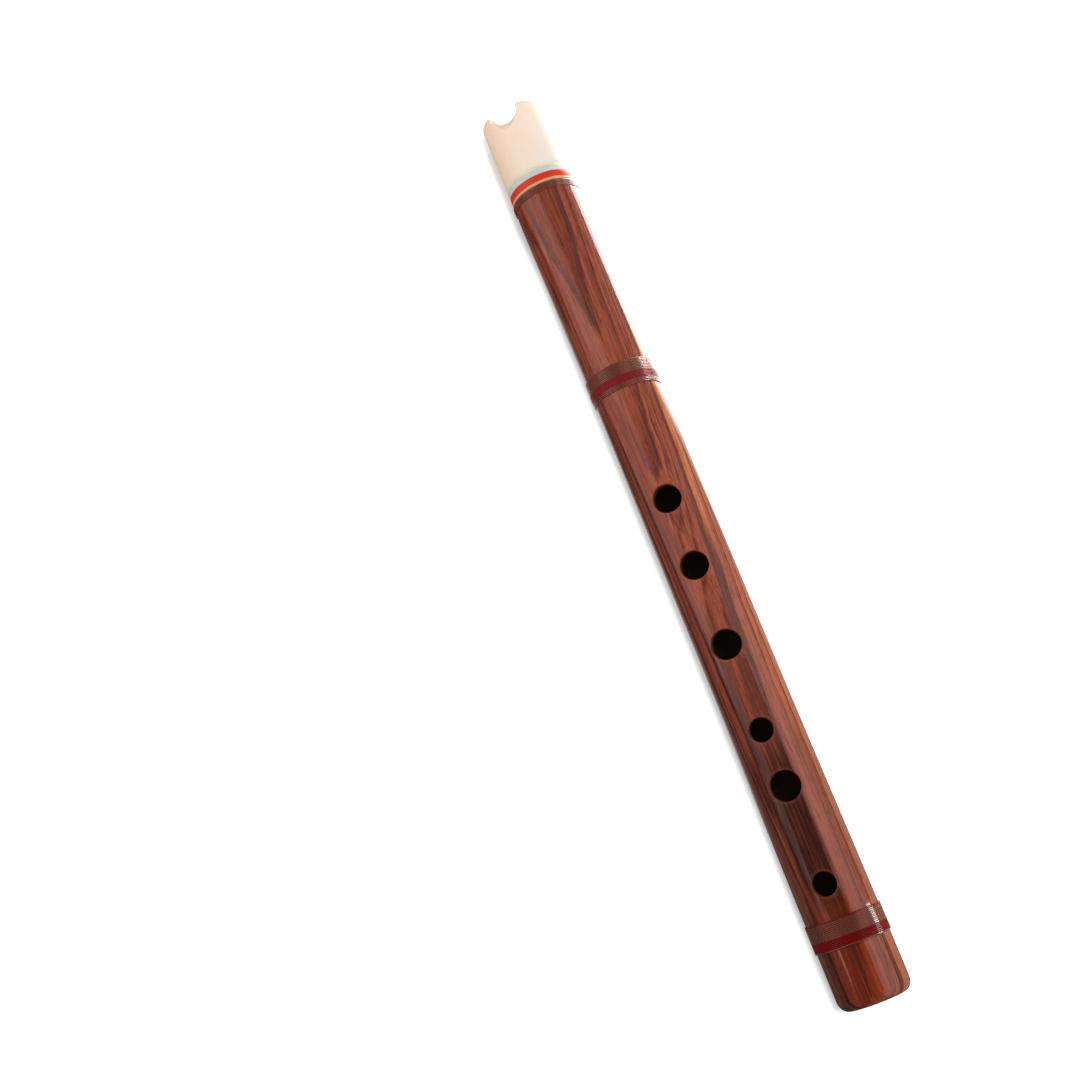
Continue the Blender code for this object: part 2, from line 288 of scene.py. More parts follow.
# the growth layers' tones by their height over the axis in mm, before they climb
growthLayers = {
    # the lowest layers on the right lie along its flank: their bright tone is partly the wood's own and partly
    # painted light from the right
    "right": [
        (-6.5, "bright"), (-5.0, "bright"), (-2.6, "bright"), (-2.1, "brown"), (-1.8, "light"),
        (-0.5, "amber"), (0.8, "amber"), (1.1, "purple"), (1.4, "light"), (2.6, "salmon"), (3.9, "salmon"),
        (4.6, "brown"), (5.4, "mauve"), (6.2, "mauve"), (6.5, "light"), (7.5, "light"), (7.75, "brown"),
        (8.0, "salmon"), (8.45, "salmon"), (8.6, "purple"), (8.9, "salmon"), (9.2, "brown"),
        (9.35, "salmon"), (9.8, "light"), (9.95, "purple"), (10.15, "purple"), (10.45, "middle"),
        (11.2, "light"), (11.75, "light"), (11.95, "purple"), (12.65, "purple"), (12.95, "middle")],
    "left": [
        (-6.5, "middle"), (-1.5, "middle"), (0.5, "brown"), (1.3, "brown"), (1.6, "middle"), (3.1, "middle"),
        (3.35, "dark"), (3.9, "dark"), (4.2, "rust"), (5.5, "middle"), (6.75, "rust"), (7.05, "dark"),
        (7.5, "dark"), (7.8, "middle"), (8.5, "rust"), (9.05, "rust"), (9.2, "brown"), (9.35, "rust"),
        (10.4, "rust"), (10.7, "light"), (11.7, "light"), (11.95, "mauve"), (12.6, "mauve"),
        (12.9, "middle")],
    "under": [
        (-24.0, "middle"), (-21.5, "dark"), (-20.5, "light"), (-18.0, "salmon"), (-16.4, "purple"),
        (-15.6, "middle"), (-13.0, "light"), (-11.6, "brown"), (-10.8, "salmon"), (-8.4, "middle"),
        (-7.6, "dark"), (-6.9, "bright"), (-6.5, "bright")],
}
# A bound names a measure in mm or a noise, where a figure starts and where it is full. With four numbers it
# runs straight between two shares. The measure side is the distance to the right of the finger holes.
sidesMeet = ("side", -6.0, 0.5, 0.0, 1.0)
leftSide = ("side", -8.5, -9.6)
underside = ("layer", -6.3, -6.7)
# how much the noises lift the layers, in mm, and how much the inner ones close up towards the middle binding
lifts = {
    "wave": 0.5,
    "feather": 0.9,
    "closing": 0.6,
    "closingBounds": [("station", 62, 92), ("station", 130, 120), ("layer", 12.0, 12.3)],
}
# what is laid over the growth layers, in turn: its tone, how it is mixed, its share, and its bounds
figures = [
    # a dark figure near the foot, then painted shade towards the foot, and darker left and right sides near it
    ("dark", "MIX", 0.95, [("station", 275, 300), ("station", 352, 336), ("layer", 4.4, 4.9)]),
    ("paintedFootShade", "MULTIPLY", 1.0, [("station", 230, 375), ("layer", -2.2, -1.8)]),
    ("footLeft", "MULTIPLY", 1.0, [
        ("station", 335, 358), ("side", -4.0, -10.0), ("side", -13.5, -12.0, 0.45, 1.0)]),
    ("footRight", "MULTIPLY", 1.0, [("station", 255, 300), ("side", 8.5, 10.8)]),
    # rust on the left near the head, plain wood between it and the middle binding, dark streaks on that side
    ("headRust", "MIX", 0.85, [("station", 100, 70), leftSide, ("streak", 0.3, 0.6, 0.2, 1.0)]),
    ("plainLeft", "MIX", 0.85, [("station", 92, 102), ("station", 132, 124), leftSide]),
    ("dark", "MIX", 0.7, [("leftStreak", 0.56, 0.40), leftSide]),
    # a bright strip on the right between the middle binding and the second hole, partly the wood's own lighter
    # streak and partly painted light from the right
    ("orange", "MIX", 0.8, [("layer", 5.3, 4.6), ("layer", 1.5, 3.0), ("station", 215, 175), sidesMeet]),
    # streaks, pores and fibre everywhere
    ("salmon", "MIX", 0.30, [("streak", 0.52, 0.72)]),
    ("brown", "MIX", 0.45, [("streak", 0.46, 0.30)]),
    ("brown", "MIX", 0.50, [("fine", 0.50, 0.34)]),
    ("salmon", "MIX", 0.30, [("fine", 0.52, 0.68)]),
    ("dark", "MIX", 0.50, [("pores", 0.45, 0.29)]),
    ("dark", "MIX", 0.40, [("fibre", 0.46, 0.30)]),
    # browner wood on top of the foot, and a dark line along its right side
    ("footTop", "MULTIPLY", 1.0, [("station", 335, 350), ("height", 12.2, 13.4)]),
    ("dark", "MIX", 0.7, [("layer", -1.45, -1.15), ("layer", -0.55, -0.85), ("station", 356, 364)]),
]
# worn wood round the finger holes: mm beyond the rim where it starts and is full, and mm over the axis
wornRims = {"reach": (1.5, 0.2), "above": (0.0, 4.0), "share": 0.4}


def layerTones(graph, layer, side):
    low, high = growthLayers[side][0][0], growthLayers[side][-1][0]
    stops = [((height - low) / (high - low), rosewood[tone]) for height, tone in growthLayers[side]]
    return graph.ramp((layer - low) / (high - low), stops)


def bounded(graph, measures, bounds):
    # the product of the bounds' shares
    shares = []
    for name, start, full, *straight in bounds:
        step = graph.slope if straight else graph.smooth
        shares.append(step(measures[name], start, full, *straight))
    product = shares[0]
    for share in shares[1:]:
        product = product * share
    return product


def toAxis(y, z):
    # distance from the flute's axis
    return (y * y + (z - axisHeight) * (z - axisHeight)) ** 0.5


def rosewoodColour(graph):
    # growth layers cut by the tube: the height over the axis less the climb of the layers, in mm. A slow
    # noise waves them, a finer one feathers them, and the figures lie over them.
    # Returns the colour, the fibre noise and where the wood is outside the bore.
    _, x, y, z = graph.place()
    measures = {"station": (x - rimAt) * mm, "side": y * mm, "height": (z - axisHeight) * mm}
    station, height = measures["station"], measures["height"]
    rightShare = bounded(graph, measures, [sidesMeet])
    right, left = graph.curve(station, climbs["right"]), graph.curve(station, climbs["left"])
    up = height - (left + rightShare * (right - left))
    for name, (alongScale, acrossScale, detail, roughness) in grain.items():
        place = graph.vector(station * (alongScale / mm), y * acrossScale, up * (acrossScale / mm))
        measures[name] = graph.noise(place, 1.0, detail, roughness)
    wave, feather = measures["wave"] - 0.5, measures["feather"] - 0.5
    measures["layer"] = up + wave * lifts["wave"] + feather * lifts["feather"]
    closing = bounded(graph, measures, lifts["closingBounds"]) * lifts["closing"]
    layer = measures["layer"] = measures["layer"] + closing
    colour = graph.mix(rightShare, layerTones(graph, layer, "left"), layerTones(graph, layer, "right"))
    colour = graph.mix(bounded(graph, measures, [underside]), colour, layerTones(graph, layer, "under"))
    for tone, blend, share, bounds in figures:
        colour = graph.mix(bounded(graph, measures, bounds) * share, colour, rosewood[tone], blend)
    above = graph.smooth(height, *wornRims["above"])
    for holeStation, diameter, _ in holes[1:]:
        fromMiddle, rim = station - holeStation * mm, diameter / 2 * mm
        fromHole = (fromMiddle * fromMiddle + measures["side"] * measures["side"]) ** 0.5
        start, full = wornRims["reach"]
        worn = graph.smooth(fromHole, rim + start, rim + full) * above
        colour = graph.mix(worn * measures["fine"] * wornRims["share"], colour, rosewood["worn"])
    # painted shade inside the bore, where the wood's colour gives way to a darker tone
    outside = graph.smooth(toAxis(y, z), *rosewood["boreEnds"])
    return graph.mix(outside, rosewood["bore"], colour), measures["fibre"], outside


def rosewoodMaterial():
    graph = Graph("varnished rosewood")
    colour, fibre, outside = rosewoodColour(graph)
    return graph.finish(
        Base_Color=colour,
        Roughness=rosewood["roughness"] + fibre * rosewood["fibreRoughness"],
        Specular_IOR_Level=rosewood["specular"],
        Coat_Weight=outside * rosewood["varnish"],
        Coat_Roughness=rosewood["varnishRoughness"],
        Normal=graph.bump(fibre, rosewood["grainBump"], rosewood["grainHeight"]),
    )


# Bone and the coloured rings
bone = {
    # painted shade: the left tone is the bone's shaded side, the right one its lit side
    "left": (0.94, 0.68, 0.51),
    "right": (0.92, 0.79, 0.68),
    "tonesMeet": (-0.014, 0.012),  # along Y, shifted up and down by half of the drift
    "drift": 0.006,
    "pore": (0.66, 0.46, 0.32),
    "poreShare": 0.20,
    "paintedShadeFlank": (0.86, 0.66, 0.50),  # painted shade on the notch's left flank, which is also rougher and not polished
    "paintedShadeFlankReach": (0.01415, 0.0138),
    "paintedShadeFlankSide": (-0.0045, -0.0062),
    "flankRoughness": 0.5,
    "roughness": 0.38,
    "polish": 0.25,
    "polishRoughness": 0.2,
    "lightInside": 0.5,
    "lightSpread": 0.004,
}
ringLooks = {
    "green_line_ring": {"slot": "green_line", "colour": (0.76, 0.71, 0.49), "roughness": 0.35},
    "silver_ring": {"slot": "silver_grey", "colour": (0.61, 0.60, 0.575), "roughness": 0.32},
    "red_ring": {"slot": "red_orange", "colour": (0.66, 0.036, 0.013), "roughness": 0.30},
    "cream_ring": {"slot": "cream", "colour": (0.66, 0.355, 0.19), "roughness": 0.35},
}
# all four rings: the mottle's darker tone, and how much brighter they are towards the right,
# which is painted light from that side
ringFinish = {"deep": 0.88, "paintedLight": (1.22, 1.28, 1.22), "paintedLightSide": (0.006, 0.011), "polish": 0.25}


def boneMaterial():
    # painted shade: warmer and darker on the left, the shaded side, than on the right; with faint long pores
    graph = Graph("polished bone")
    _, x, y, z = graph.place()
    slow = graph.noise(graph.vector(x * 25.0, y * 60.0, z * 60.0), 1.0, 2.0) - 0.5
    pores = graph.noise(graph.vector(x * 180.0, y * 2600.0, z * 2600.0), 1.0, 2.0, 0.6)
    across = graph.smooth(y + slow * bone["drift"], *bone["tonesMeet"])
    colour = graph.mix(across, bone["left"], bone["right"])
    colour = graph.mix(graph.smooth(pores, 0.42, 0.28) * bone["poreShare"], colour, bone["pore"])
    # painted shade: the notch's left flank is darker, and rougher without polish
    paintedShadeFlank = graph.smooth(toAxis(y, z), *bone["paintedShadeFlankReach"]) * graph.smooth(y, *bone["paintedShadeFlankSide"])
    return graph.finish(
        Base_Color=graph.mix(paintedShadeFlank, colour, bone["paintedShadeFlank"]),
        Roughness=bone["roughness"] + pores * 0.08 + paintedShadeFlank * bone["flankRoughness"],
        Subsurface_Weight=bone["lightInside"],
        Subsurface_Scale=bone["lightSpread"],
        Coat_Weight=(1.0 - paintedShadeFlank) * bone["polish"],
        Coat_Roughness=bone["polishRoughness"],
        Normal=graph.bump(pores, 0.08, 0.00004),
    )


def ringMaterial(name, looks):
    graph = Graph(name.replace("_", " "))
    coordinate, _, y, _ = graph.place()
    mottle = graph.noise(coordinate, 900.0, 3.0, 0.6)
    deep = tuple(ringFinish["deep"] * part for part in looks["colour"])
    colour = graph.mix(graph.smooth(mottle, 0.3, 0.7), deep, looks["colour"])
    # painted light: brighter towards the right, the lit side
    paintedLight = graph.smooth(y, *ringFinish["paintedLightSide"])
    return graph.finish(
        Base_Color=graph.mix(paintedLight, colour, ringFinish["paintedLight"], "MULTIPLY"),
        Roughness=looks["roughness"] + mottle * 0.1,
        Specular_IOR_Level=0.2,
        Coat_Weight=ringFinish["polish"],
        Coat_Roughness=0.12,
        Normal=graph.bump(mottle, 0.05, 0.00003),
    )


# Thread
thread = {
    "nylon": (0.150, 0.053, 0.032),
    "nylonShare": 0.55,
    "nylonRoughness": 0.30,
    "nylonGloss": 0.8,
    "red": (0.240, 0.014, 0.016),
    # painted shade: the red thread is darker at the foot's binding
    "paintedShadeRedAtFoot": (0.162, 0.0020, 0.001),
    "redRoughness": 0.5,
    "redGloss": 0.3,
    "redDarkShare": 0.5,
    "faintShare": 0.55,
}


def nylonMaterial():
    # clear line over the wood: the wood's own colour, darker and a little grey
    graph = Graph("clear nylon line")
    colour, fibre, _ = rosewoodColour(graph)
    return graph.finish(
        Base_Color=graph.mix(thread["nylonShare"], colour, thread["nylon"]),
        Roughness=thread["nylonRoughness"] + fibre * 0.05,
        Specular_IOR_Level=0.1,
        Coat_Weight=thread["nylonGloss"],
        Coat_Roughness=0.06,
        Normal=graph.bump(fibre, 0.05, 0.00002),
    )


def redThreadMaterial(faint=False):
    # painted shade: darker at the foot's binding, where less light falls; the faint one lets the wood show
    # through
    graph = Graph("faint red thread" if faint else "varnished red thread")
    coordinate, x, _, _ = graph.place()
    fibre = graph.noise(coordinate, 2600.0, 3.0, 0.6)
    colour = graph.mix(graph.smooth(x, 0.0, 0.1), thread["red"], thread["paintedShadeRedAtFoot"])
    if faint:
        colour = graph.mix(thread["faintShare"], colour, rosewoodColour(graph)[0])
    dark = graph.smooth(fibre, 0.50, 0.25) * thread["redDarkShare"]
    return graph.finish(
        Base_Color=graph.mix(dark, colour, rosewood["dark"]),
        Roughness=thread["redRoughness"] + fibre * 0.1,
        Specular_IOR_Level=0.1,
        Coat_Weight=thread["redGloss"],
        Coat_Roughness=0.1,
        Normal=graph.bump(fibre, 0.25, 0.00003),
    )


# The wooden tube
tube = {
    "shoulder": 0.0384,
    "tenonStart": 0.0188,
    "tenonRadius": 0.0118,
    "footInward": 0.0033,
    "footAlong": 0.0046,
    "edge": 0.0004,
    "footFlatStart": 0.0003,
    "tenonFillet": 0.0001,
    "shoulderEdge": 0.0002,
    "shoulderNick": 0.00006,
    "lip": 0.00015,  # the break of a hole's edge in the bore
    "rowSpacing": 0.004,
    "columns": 128,
    "patchColumns": 24,
    "patchRows": 24,
    "borePatchColumns": 30,
    "patchMargin": 0.0018,
    "borePatchInset": 0.001,
    "easing": 0.0005,
}
# station, diameter, degrees off the line of finger holes; the thumb hole is opposite
holes = [
    (0.1650, 0.0100, 180.0),
    (0.1815, 0.0113, 1.0),
    (0.2100, 0.0113, 0.5),
    (0.2430, 0.0118, -0.5),
    (0.2778, 0.0094, -1.0),
    (0.3003, 0.0117, 1.0),
    (0.3383, 0.0092, -1.0),
]


def rowsBetween(first, last, breaks, rowsInBreak, spacing):
    # stations from first to last, with evenly spaced rows inside each break and wide ones between
    stations, starts = [], []
    at = first
    for low, high in breaks:
        count = max(1, round((low - at) / spacing))
        stations += list(np.linspace(at, low, count, endpoint=False))
        starts.append(len(stations))
        stations += list(np.linspace(low, high, rowsInBreak, endpoint=False))
        at = high
    count = max(1, round((last - at) / spacing))
    stations += list(np.linspace(at, last, count + 1))
    return np.array(stations), starts


def arc(radiusCentre, stationCentre, inward, along, start, end, steps):
    # part of an ellipse, as pairs of station and radius
    angle = np.radians(np.linspace(start, end, steps + 1))
    return np.column_stack([stationCentre + along * np.sin(angle), radiusCentre + inward * np.cos(angle)])


def holeRings(hole, outerBorder, boreBorder):
    # rings of points from the outer border, over the eased edge, down the drilled wall, to the bore's border.
    # A ring lies on a tube: its height is the root of radius squared less aside squared.
    station, diameter, degrees = hole
    turn, radius, ease = math.radians(degrees), diameter / 2, tube["easing"]
    count = len(outerBorder[0])
    angle = math.radians(225) - np.arange(count) * wholeTurn / count  # from the border's first corner

    def ring(reach, radiusAt, deeper=0.0):
        along, aside = station + reach * np.cos(angle), reach * np.sin(angle)
        height = np.sqrt((radiusAt(along) - deeper) ** 2 - aside ** 2)
        return along, np.hypot(aside, height), turn + np.arctan2(aside, height)

    def boreAt(along):
        return boreRadius + 0 * along

    def between(first, second, share):
        return tuple(a + (b - a) * share for a, b in zip(first, second))

    flare = ring(radius + ease, outerRadius)
    rings = [between(outerBorder, flare, share) for share in (0.3, 0.6, 0.85)]
    for step in np.linspace(0, math.pi / 2, 6):
        rings.append(ring(radius + ease * (1 - math.sin(step)), outerRadius, ease * (1 - math.cos(step))))
    top, small = rings[-1], tube["lip"]
    bottom = ring(radius, boreAt, -small)
    rings += [between(top, bottom, share) for share in (0.03, 0.35, 0.7, 0.97)]
    rings.append(bottom)
    rings.append(ring(radius + 0.3 * small, boreAt, -0.3 * small))
    lip = ring(radius + small, boreAt)
    rings.append(lip)
    rings += [between(lip, boreBorder, share) for share in (0.1, 0.55)]
    return rings


def tubeSurface():
    # a closed profile of station and radius carried round the axis; each hole's square of the grid is left
    # out, inside and outside, and a sleeve of rings joins the two squares through the wall
    edge, half = tube["edge"], tube["patchColumns"] // 2
    breaks, boreBreaks = [], []
    for station, diameter, _ in holes:
        reach = diameter / 2 + tube["easing"] + tube["patchMargin"]
        breaks.append((station - reach, station + reach))
        reach -= tube["borePatchInset"]
        boreBreaks.append((station - reach, station + reach))
    boreRows = tube["patchRows"] + tube["patchColumns"] - tube["borePatchColumns"]
    footTop, footRound = fluteLength - tube["footAlong"], tubeRadius - tube["footInward"]
    shoulder, corner, nick = tube["shoulder"], tube["shoulderEdge"], tube["shoulderNick"]
    tenonFace, tenon, fillet = tube["tenonStart"], tube["tenonRadius"], tube["tenonFillet"]
    spacing = tube["rowSpacing"]
    outer, outerStarts = rowsBetween(shoulder + corner, footTop, breaks, tube["patchRows"], spacing)
    bore, boreStarts = rowsBetween(tenonFace + edge, fluteLength - edge, boreBreaks, boreRows, spacing)
    boreStarts = [len(bore) - 1 - start - boreRows for start in boreStarts]
    bore = bore[::-1]
    foot = arc(footRound, footTop, tube["footInward"], tube["footAlong"], 8, 90, 12)  # degrees and steps
    flatInner = boreRadius + edge
    boreEdge = arc(flatInner, fluteLength - edge, edge, edge, 90, 180, 4)
    profile = np.concatenate([
        np.column_stack([outer, outerRadius(outer)]),
        foot,
        [(fluteLength, footRound - tube["footFlatStart"]), (fluteLength, flatInner + fillet)],
        boreEdge[:-1],
        np.column_stack([bore, np.full(len(bore), boreRadius)]),
        [(tenonFace, boreRadius + edge), (tenonFace, tenon - edge), (tenonFace + edge, tenon),
         (shoulder - fillet, tenon), (shoulder, tenon + fillet / 2),
         (shoulder, tubeRadius - corner), (shoulder + nick, tubeRadius - nick)],
    ])
    stations, radii = profile.T
    rows, columns = len(stations), tube["columns"]
    angles = np.arange(columns) * wholeTurn / columns
    points = pointAt(stations[:, None], radii[:, None], angles[None, :]).reshape(-1, 3)
    faces = gridFaces(rows, columns)
    faceRow, faceColumn = np.divmod(np.arange(rows * columns), columns)
    keep = np.ones(rows * columns, bool)
    boreFirst = len(outer) + len(foot) + 2 + len(boreEdge) - 1
    pieces, patches = [points], []
    total = len(points)

    def square(firstRow, rowCount, centreColumn, halfColumns, backwards):
        # the border of one square of the grid, from its corner of least station and angle; its faces go
        nonlocal keep
        offset = (faceColumn - (centreColumn - halfColumns)) % columns
        inside = (faceRow >= firstRow) & (faceRow < firstRow + rowCount) & (offset < 2 * halfColumns)
        keep &= ~inside
        acrossCount = 2 * halfColumns
        low, high = (firstRow + rowCount, firstRow) if backwards else (firstRow, firstRow + rowCount)
        step = 1 if high > low else -1
        left, right = centreColumn - halfColumns, centreColumn + halfColumns
        rowList = np.concatenate([
            np.full(acrossCount, low), low + step * np.arange(rowCount),
            np.full(acrossCount, high), high - step * np.arange(rowCount)])
        columnList = np.concatenate([
            left + np.arange(acrossCount), np.full(rowCount, right),
            right - np.arange(acrossCount), np.full(rowCount, left)])
        where = (stations[rowList], radii[rowList], columnList * wholeTurn / columns)
        return where, rowList * columns + columnList % columns

    for index, hole in enumerate(holes):
        centre = round(hole[2] / 360 * columns)
        outerWhere, outerIds = square(outerStarts[index], tube["patchRows"], centre, half, False)
        boreWhere, boreIds = square(
            boreFirst + boreStarts[index], boreRows, centre, tube["borePatchColumns"] // 2, True)
        rings = holeRings(hole, outerWhere, boreWhere)
        count = len(outerIds)
        ringPoints = np.concatenate([pointAt(*ring) for ring in rings])
        ids = np.concatenate([
            outerIds[None, :],
            total + np.arange(len(rings) * count).reshape(len(rings), count),
            boreIds[None, :]])
        patch = gridFaces(len(ids), count, closeRows=False)
        patches.append(ids.reshape(-1)[patch])
        pieces.append(ringPoints)
        total += len(ringPoints)
    return np.concatenate(pieces), np.concatenate([faces[keep], *patches])


def makeTube():
    points, faces = tubeSurface()
    addPiece("rosewood_tube", points, faces, rosewoodMaterial(), "rosewood", ["body_tube"])
    print("tube: %d faces" % len(faces))


# The mouthpiece and its notch
mouth = {
    "length": 0.0308,
    "socketFloor": 0.0185,
    "rimRounding": 0.0009,
    "notchRounding": 0.0002,
    "boreRounding": 0.0004,
    "sharpRounding": 0.00008,
    "lipRounding": 0.00012,
    "lipClear": 0.0002,
    "brokenEdge": 0.00006,
    "socketEdge": 0.0001,
    "notchTurn": -10.0,
    "notchRadius": 0.0060,
    "notchDepth": 0.0052,
    "notchPoints": 36,
    "hornRounding": 0.0014,
    "edgeHeight": 0.0101,
    "rampLength": 0.0042,
    "rampFlare": 0.0003,
    "rimColumns": 200,
    "rimSplit": 0.6,
    "easeInNotch": 10,  # columns over which the roundings grow, on both sides of a horn
    "easeOnRim": 14,
    "easeAtHorn": 0.6,
    "settlingRounds": 8,
    "outerRows": 34,
    "evenRows": 8,
    "boreRows": 30,
    "evenBelow": 0.016,
    "steady": 0.35,
}


def notchOutline(radius, depth):
    # the notch seen square on, from its +Y horn to the other: the horn's arc, a straight side where the
    # bottom's centre lies deeper than the horn's, and the round bottom, evenly by length.
    # Returns aside and station, and the unit normal into the bone.
    horn = mouth["hornRounding"]
    centre = depth - radius
    low = np.minimum(centre, horn)
    hornAside = np.sqrt((radius + horn) ** 2 - (horn - low) ** 2)
    lean = np.arctan2(horn - low, hornAside)
    hornWay, sideWay, bottomWay = horn * (math.pi / 2 - lean), centre - low, radius * (math.pi / 2 - lean)
    way = np.linspace(0, 1, mouth["notchPoints"])[:, None] * (hornWay + sideWay + bottomWay)
    hornTurn = np.clip(way, 0, hornWay) / horn
    side = np.clip(way - hornWay, 0, sideWay)
    bottomTurn = lean + np.clip(way - hornWay - sideWay, 0, None) / radius
    onHorn = way <= hornWay
    aside = np.where(onHorn, hornAside - horn * np.sin(hornTurn), radius * np.cos(bottomTurn))
    station = np.where(onHorn, horn - horn * np.cos(hornTurn), low + side + radius * np.sin(bottomTurn))
    normalAside = np.where(onHorn, np.sin(hornTurn), np.cos(bottomTurn))
    normalStation = np.where(onHorn, np.cos(hornTurn), np.sin(bottomTurn))
    return (np.concatenate([aside, -aside[-2::-1]]), np.concatenate([station, station[-2::-1]]),
            np.concatenate([normalAside, -normalAside[-2::-1]]),
            np.concatenate([normalStation, normalStation[-2::-1]]))


def outlineAt(height):
    # the notch's outline where the cut has this height over the axis, one height for each of its points
    share = np.clip((height - mouth["edgeHeight"]) / (tubeRadius - mouth["edgeHeight"]), 0, None)
    outline = notchOutline(
        (mouth["notchRadius"] + share * mouth["rampFlare"])[None, :],
        (mouth["notchDepth"] + share * mouth["rampLength"])[None, :])
    pick = np.arange(len(height))
    return tuple(part[pick, pick] for part in outline)


def mouthSurface():
    # columns run round the rim and along the notch; rows run down the outer side, through the socket, up the
    # bore and over the wall's upper end, which is flat at the rim and a ramp at the notch
    turn = math.radians(mouth["notchTurn"])
    notchCount, rimCount = 2 * mouth["notchPoints"] - 1, mouth["rimColumns"]
    total = notchCount + rimCount
    column = np.arange(total)

    def levelCurve(radius, flared):
        # the cut's curve on one tube, then the rim: angle, station, and the normal into the bone
        height = np.full(notchCount, radius if flared else mouth["edgeHeight"])
        for _ in range(mouth["settlingRounds"]):
            aside, station, across, along = outlineAt(height)
            if flared:
                height = np.sqrt(radius ** 2 - aside ** 2)
        angle = np.arcsin(aside / radius)
        share = (np.arange(rimCount) + 1) / (rimCount + 1)
        rimAngle = -angle[0] - share * (wholeTurn - 2 * angle[0])
        rim = np.zeros(rimCount)
        return (turn + np.concatenate([angle, rimAngle]), np.concatenate([station, rim]),
                np.concatenate([across, rim]), np.concatenate([along, rim + 1]))

    outAngle, outStation, outAcross, outAlong = levelCurve(tubeRadius, True)
    inAngle, inStation, inAcross, inAlong = levelCurve(boreRadius, False)
    evenAngle = turn + (notchCount - 1) / 2 * wholeTurn / total - column * wholeTurn / total
    # the roundings are fine along the notch and full round the rim
    inNotch, onRim, atHorn = mouth["easeInNotch"], mouth["easeOnRim"], mouth["easeAtHorn"]
    ease = np.interp(
        column,
        [0, inNotch, notchCount - 1 - inNotch, notchCount - 1, notchCount + onRim, total - onRim, total],
        [atHorn, 0, 0, atHorn, 1, 1, atHorn])
    outRound = mouth["notchRounding"] + ease * (mouth["rimRounding"] - mouth["notchRounding"])
    inRound = mouth["sharpRounding"] + ease * (mouth["boreRounding"] - mouth["sharpRounding"])

    outEdge = pointAt(outStation, tubeRadius, outAngle)
    inEdge = pointAt(inStation, boreRadius, inAngle)
    # the sharp edge's own face stands square on the bore, up to the edge height
    aside = boreRadius * np.sin(inAngle - turn)
    boreHeight = np.sqrt(np.maximum(boreRadius ** 2 - aside ** 2, 0))
    lipHeight = np.maximum(mouth["edgeHeight"], boreHeight + mouth["lipClear"])
    lip = pointAt(inStation, np.hypot(aside, lipHeight), turn + np.arctan2(aside, lipHeight))
    flatLip = inEdge + (outEdge - inEdge) * mouth["rimSplit"]
    lip = np.where((column < notchCount)[:, None], lip, flatLip)

    def toward(start, goal, distance):
        way = goal - start
        return start + way * (distance / np.linalg.norm(way, axis=1))[:, None]

    def rounding(first, corner, last, steps):
        # points of the curve pulled from first to last by the corner, without the two ends
        t = np.linspace(0, 1, steps + 2)[1:-1, None, None]
        return list((1 - t) ** 2 * first + 2 * t * (1 - t) * corner + t ** 2 * last)

    def settlingRow(radius, angle, station, share):
        # a share of the way from the cut's own columns to evenly spaced ones
        steady = mouth["steady"]
        turned = steady * share + (1 - steady) * share * share * (3 - 2 * share)
        station = station + (mouth["evenBelow"] - station) * share
        return pointAt(station, radius, angle + (evenAngle - angle) * turned)

    outFrom = (outAngle + outRound * outAcross / tubeRadius, outStation + outRound * outAlong)
    inFrom = (inAngle + inRound * inAcross / boreRadius, inStation + inRound * inAlong)
    rows = [settlingRow(tubeRadius, *outFrom, share) for share in np.linspace(0, 1, mouth["outerRows"])]
    end, floor = mouth["length"], mouth["socketFloor"]
    broken, small = mouth["brokenEdge"], mouth["socketEdge"]
    evenStations = np.linspace(mouth["evenBelow"], end - broken, mouth["evenRows"])[1:]
    even = [(tubeRadius, station) for station in evenStations]
    socket = [
        (tubeRadius - broken / 3, end - broken / 3), (tubeRadius - broken, end), (socketRadius, end),
        (socketRadius, end - small), (socketRadius, floor), (boreRadius + small, floor),
        (boreRadius, floor - small)]
    rows += [pointAt(station, radius, evenAngle) for radius, station in even + socket]
    rows += [settlingRow(boreRadius, *inFrom, share) for share in np.linspace(1, 0, mouth["boreRows"])[1:]]
    outStart, inStart = rows[0], rows[-1]
    outSill, inSill = toward(outEdge, lip, outRound), toward(inEdge, lip, inRound)
    rows += rounding(inStart, inEdge, inSill, 3)
    rows.append(inSill)
    lipIn, lipOut = toward(lip, inSill, mouth["lipRounding"]), toward(lip, outSill, mouth["lipRounding"])
    rows += [inSill + (lipIn - inSill) * share for share in (0.33, 0.66, 1.0)]
    rows += rounding(lipIn, lip, lipOut, 1)
    rows += [lipOut + (outSill - lipOut) * share for share in (0, 0.2, 0.4, 0.6, 0.8, 1.0)]
    rows += rounding(outSill, outEdge, outStart, 4)
    points = np.stack(rows)[:, ::-1]
    return points.reshape(-1, 3), gridFaces(len(rows), total)


def makeMouthpiece():
    points, faces = mouthSurface()
    addPiece("bone_mouthpiece", points, faces, boneMaterial(), "bone", ["mouthpiece"])
    print("mouthpiece: %d faces" % len(faces))


# Rings
ringShape = {"broken": 0.00006, "gap": 0.00001, "columns": 192}


